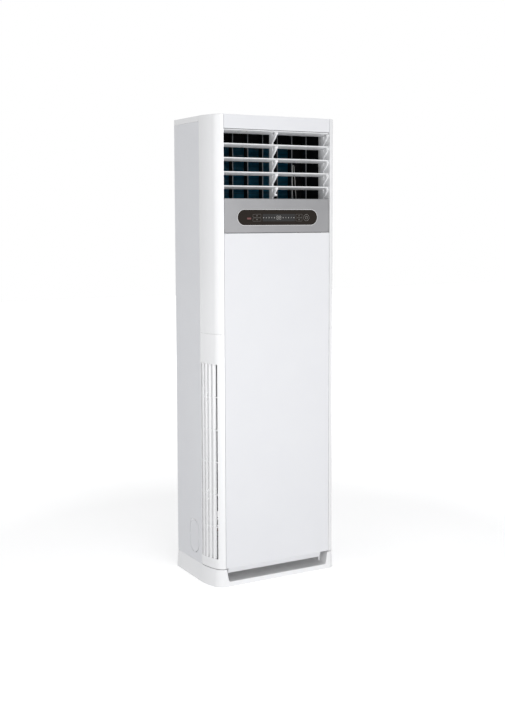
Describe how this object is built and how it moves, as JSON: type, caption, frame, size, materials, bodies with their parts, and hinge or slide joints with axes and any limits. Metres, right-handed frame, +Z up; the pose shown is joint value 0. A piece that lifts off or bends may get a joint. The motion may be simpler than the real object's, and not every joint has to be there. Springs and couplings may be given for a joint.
{
  "type": "floor standing air conditioner",
  "caption": "Tall free-standing cabinet air conditioner with rounded front pillars, slatted side intakes, a dark display band and tilting outlet louvers over swinging vanes",
  "frame": {"origin": "on the floor under the middle of the cabinet's overall box", "axes": "+X to the right seen from the front, +Y from the front plane to the rear, +Z up"},
  "size_m": [0.566, 0.33, 1.78],
  "materials": {
    "gloss_white": "glossy white moulded plastic",
    "panel_white": "satin off-white paint",
    "side_grey": "satin light grey paint",
    "brushed_silver": "fine vertical gradient, brushed silver",
    "polished_rim": "polished rim",
    "dark_lens": "dark brown-black gloss lens",
    "louver_white": "white moulded plastic",
    "black_plastic": "black moulded plastic",
    "black_foam": "black closed cell foam",
    "fin_coating": "blue-green coated fins",
    "copper_tube": null,
    "brass_fitting": "turned brass",
    "galvanised": "galvanised sheet",
    "motor_grey": "dark grey enamel",
    "shaft_steel": "ground steel",
    "white_plastic": "white moulded plastic",
    "filter_mesh": "dark grey net",
    "board_green": "printed board",
    "rubber_black": "moulded rubber"
  },
  "bodies": {
    "cabinet": {"base_skirt": "gloss_white", "base_pan": "galvanised", "left_side_panel": "side_grey", "right_side_panel": "side_grey", "rear_panel": "side_grey", "top_cap": "gloss_white", "upper_front_frame": "gloss_white", "header_panel": "panel_white", "front_panel": "panel_white", "control_fascia": "brushed_silver", "display_bezel": "polished_rim", "display_lens": "dark_lens", "display_board": "board_green", "louver_center_post": "louver_white", "louver_side_supports": "louver_white", "outlet_duct": "black_plastic", "vane_motor": "galvanised", "chamber_insulation": "black_foam", "evaporator_fins": "fin_coating", "evaporator_tubes": "copper_tube", "coil_end_plates": "galvanised", "coil_headers": "copper_tube", "drain_pan": "black_plastic", "drain_hose": "white_plastic", "partition_plate": "galvanised", "scroll_housing": "galvanised", "bell_mouth": "galvanised", "fan_motor": "motor_grey", "motor_bracket": "galvanised", "electrical_box": "galvanised", "electrical_cover": "galvanised", "main_board": "board_green", "terminal_block": "white_plastic", "run_capacitor": "motor_grey", "refrigerant_pipes": "copper_tube", "flare_fittings": "brass_fitting", "rear_grommets": "rubber_black", "anti_tip_bracket": "galvanised", "panel_screws": "shaft_steel"},
    "fan_rotor": {"blower_wheel": "galvanised", "motor_shaft": "shaft_steel"},
    "louver_link": {"louver_link_bar": "louver_white"},
    "vane_link": {"vane_link_bar": "black_plastic"},
    "vane_drive": {"vane_crank": "white_plastic"},
    "left_intake": {"left_intake_grille": "gloss_white", "left_filter": "filter_mesh"},
    "right_intake": {"right_intake_grille": "gloss_white", "right_filter": "filter_mesh"},
    "blade_1": {"louver_1": "louver_white"},
    "blade_2": {"louver_2": "louver_white"},
    "blade_3": {"louver_3": "louver_white"},
    "blade_4": {"louver_4": "louver_white"},
    "blade_5": {"louver_5": "louver_white"},
    "vane_body_1": {"vane_1": "black_plastic"},
    "vane_body_2": {"vane_2": "black_plastic"},
    "vane_body_3": {"vane_3": "black_plastic"},
    "vane_body_4": {"vane_4": "black_plastic"},
    "vane_body_5": {"vane_5": "black_plastic"},
    "vane_body_6": {"vane_6": "black_plastic"},
    "vane_body_7": {"vane_7": "black_plastic"}
  },
  "joints": [
    {"name": "louver_tilt_1", "type": "hinge", "parent": "cabinet", "child": "blade_1", "pos_m": [0, -0.15, 1.7174], "axis": [1, 0, 0], "range_deg": [-28, 15]},
    {"name": "louver_tilt_2", "type": "hinge", "parent": "cabinet", "child": "blade_2", "pos_m": [0, -0.15, 1.66565], "axis": [1, 0, 0], "range_deg": [-28, 15]},
    {"name": "louver_tilt_3", "type": "hinge", "parent": "cabinet", "child": "blade_3", "pos_m": [0, -0.15, 1.6139], "axis": [1, 0, 0], "range_deg": [-28, 15]},
    {"name": "louver_tilt_4", "type": "hinge", "parent": "cabinet", "child": "blade_4", "pos_m": [0, -0.15, 1.56215], "axis": [1, 0, 0], "range_deg": [-28, 15]},
    {"name": "louver_tilt_5", "type": "hinge", "parent": "cabinet", "child": "blade_5", "pos_m": [0, -0.15, 1.5104], "axis": [1, 0, 0], "range_deg": [-28, 15]},
    {"name": "louver_link_pivot", "type": "hinge", "parent": "blade_1", "child": "louver_link", "pos_m": [-0.2155, -0.112, 1.71056], "axis": [1, 0, 0], "range_deg": [-15, 28]},
    {"name": "vane_swing_1", "type": "hinge", "parent": "cabinet", "child": "vane_body_1", "pos_m": [-0.1962, -0.031, 1.60055], "axis": [0, 0, 1], "range_deg": [-35, 35]},
    {"name": "vane_swing_2", "type": "hinge", "parent": "cabinet", "child": "vane_body_2", "pos_m": [-0.1308, -0.031, 1.60055], "axis": [0, 0, 1], "range_deg": [-35, 35]},
    {"name": "vane_swing_3", "type": "hinge", "parent": "cabinet", "child": "vane_body_3", "pos_m": [-0.0654, -0.031, 1.60055], "axis": [0, 0, 1], "range_deg": [-35, 35]},
    {"name": "vane_swing_4", "type": "hinge", "parent": "cabinet", "child": "vane_body_4", "pos_m": [0, -0.031, 1.60055], "axis": [0, 0, 1], "range_deg": [-35, 35]},
    {"name": "vane_swing_5", "type": "hinge", "parent": "cabinet", "child": "vane_body_5", "pos_m": [0.0654, -0.031, 1.60055], "axis": [0, 0, 1], "range_deg": [-35, 35]},
    {"name": "vane_swing_6", "type": "hinge", "parent": "cabinet", "child": "vane_body_6", "pos_m": [0.1308, -0.031, 1.60055], "axis": [0, 0, 1], "range_deg": [-35, 35]},
    {"name": "vane_swing_7", "type": "hinge", "parent": "cabinet", "child": "vane_body_7", "pos_m": [0.1962, -0.031, 1.60055], "axis": [0, 0, 1], "range_deg": [-35, 35]},
    {"name": "vane_link_pivot", "type": "hinge", "parent": "vane_body_1", "child": "vane_link", "pos_m": [-0.1962, -0.019, 1.4623], "axis": [0, 0, 1], "range_deg": [-35, 35]},
    {"name": "vane_crank_turn", "type": "hinge", "parent": "cabinet", "child": "vane_drive", "pos_m": [0.0327, -0.031, 1.4623], "axis": [0, 0, 1], "range_deg": [-35, 35]},
    {"name": "fan_spin", "type": "hinge", "parent": "cabinet", "child": "fan_rotor", "pos_m": [0.019, 0.132, 0.651], "axis": [0, 1, 0], "continuous": true},
    {"name": "left_grille_pull", "type": "slide", "parent": "cabinet", "child": "left_intake", "axis": [-1, 0, 0], "range_m": [0, 0.04]},
    {"name": "right_grille_pull", "type": "slide", "parent": "cabinet", "child": "right_intake", "axis": [1, 0, 0], "range_m": [0, 0.04]}
  ],
  "couplings": [
    {"joint": "louver_tilt_2", "follows": "louver_tilt_1", "ratio": 1},
    {"joint": "louver_tilt_3", "follows": "louver_tilt_1", "ratio": 1},
    {"joint": "louver_tilt_4", "follows": "louver_tilt_1", "ratio": 1},
    {"joint": "louver_tilt_5", "follows": "louver_tilt_1", "ratio": 1},
    {"joint": "louver_link_pivot", "follows": "louver_tilt_1", "ratio": -1},
    {"joint": "vane_swing_2", "follows": "vane_swing_1", "ratio": 1},
    {"joint": "vane_swing_3", "follows": "vane_swing_1", "ratio": 1},
    {"joint": "vane_swing_4", "follows": "vane_swing_1", "ratio": 1},
    {"joint": "vane_swing_5", "follows": "vane_swing_1", "ratio": 1},
    {"joint": "vane_swing_6", "follows": "vane_swing_1", "ratio": 1},
    {"joint": "vane_swing_7", "follows": "vane_swing_1", "ratio": 1},
    {"joint": "vane_link_pivot", "follows": "vane_swing_1", "ratio": -1},
    {"joint": "vane_crank_turn", "follows": "vane_swing_1", "ratio": 1}
  ]
}
